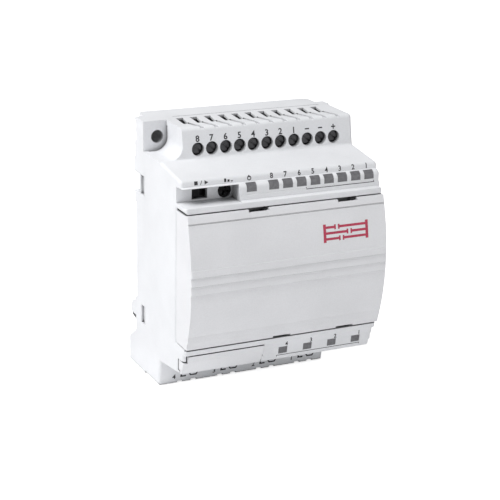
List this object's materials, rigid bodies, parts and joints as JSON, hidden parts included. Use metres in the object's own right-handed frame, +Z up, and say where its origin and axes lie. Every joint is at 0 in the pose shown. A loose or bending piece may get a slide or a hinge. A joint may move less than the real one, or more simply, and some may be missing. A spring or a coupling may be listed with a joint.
{
  "type": "plc module",
  "caption": "Programmable relay module for a 35 mm rail: stepped housing, screw terminal blocks above and below, banded clip-on cover, mode switch, trimmer, indicator windows and rail latch.",
  "frame": {"origin": "middle of the bottom of the bounding box", "axes": "+X to the right seen from the front, +Y into the mounting panel, +Z up along the module's height"},
  "size_m": [0.0716, 0.056, 0.09],
  "materials": {
    "shell_white": "fine moulded texture",
    "cover_grey": "fine moulded texture, light grey",
    "latch_dark": "satin moulded",
    "spring_steel": "drawn wire",
    "terminal_dark": "satin moulded",
    "plated_metal": "tin plated",
    "screw_metal": "zinc plated",
    "lens_grey": "tinted translucent",
    "lamp_clear": "clear resin",
    "black_plastic": "satin moulded",
    "board_green": "solder mask",
    "chip_black": "epoxy",
    "relay_black": "satin moulded",
    "can_sleeve": "shrink sleeve",
    "ferrite_dark": "sintered",
    "print_black": "pad-printed ink",
    "print_red": "pad-printed ink"
  },
  "bodies": {
    "housing": {"rear_base": "shell_white", "main_housing": "shell_white", "input_terminal_strip": "terminal_dark", "output_terminal_strip": "terminal_dark", "input_clamp_cages": "plated_metal", "output_clamp_cages": "plated_metal", "input_clamp_screws": "screw_metal", "output_clamp_screws": "screw_metal", "input_light_pipes": "lens_grey", "mode_light_pipe": "lens_grey", "output_light_pipes": "lens_grey", "status_lamps": "lamp_clear", "mode_switch_body": "black_plastic", "trimmer_body": "black_plastic", "port_socket": "black_plastic", "logic_board": "board_green", "power_board": "board_green", "processor_chip": "chip_black", "memory_chip": "chip_black", "backup_cell": "plated_metal", "board_header": "black_plastic", "board_screws": "screw_metal", "output_relays": "relay_black", "supply_capacitors": "can_sleeve", "supply_choke": "ferrite_dark", "supply_fuse": "chip_black", "latch_spring": "spring_steel"},
    "rail_latch": {"rail_latch": "latch_dark"},
    "mode_switch_slider": {"mode_switch_slider": "black_plastic"},
    "trimmer_rotor": {"trimmer_rotor": "black_plastic"},
    "front_cover": {"front_cover": "cover_grey"},
    "port_cover": {"port_cover": "cover_grey"}
  },
  "joints": [
    {"name": "rail_latch_slide", "type": "slide", "parent": "housing", "child": "rail_latch", "axis": [0, 0, -1], "range_m": [0, 0.0029], "stiffness_N_per_m": 900, "springref_m": -0.001, "deforming": ["latch_spring"]},
    {"name": "mode_switch_slide", "type": "slide", "parent": "housing", "child": "mode_switch_slider", "axis": [1, 0, 0], "range_m": [0, 0.0023]},
    {"name": "trimmer_turn", "type": "hinge", "parent": "housing", "child": "trimmer_rotor", "pos_m": [-0.0189, -0.013, 0.0724], "axis": [0, -1, 0], "range_deg": [-105, 105]},
    {"name": "front_cover_pull", "type": "slide", "parent": "housing", "child": "front_cover", "axis": [0, -1, 0], "range_m": [0, 0.02]},
    {"name": "port_cover_pull", "type": "slide", "parent": "housing", "child": "port_cover", "axis": [0, -1, 0], "range_m": [0, 0.012]}
  ]
}
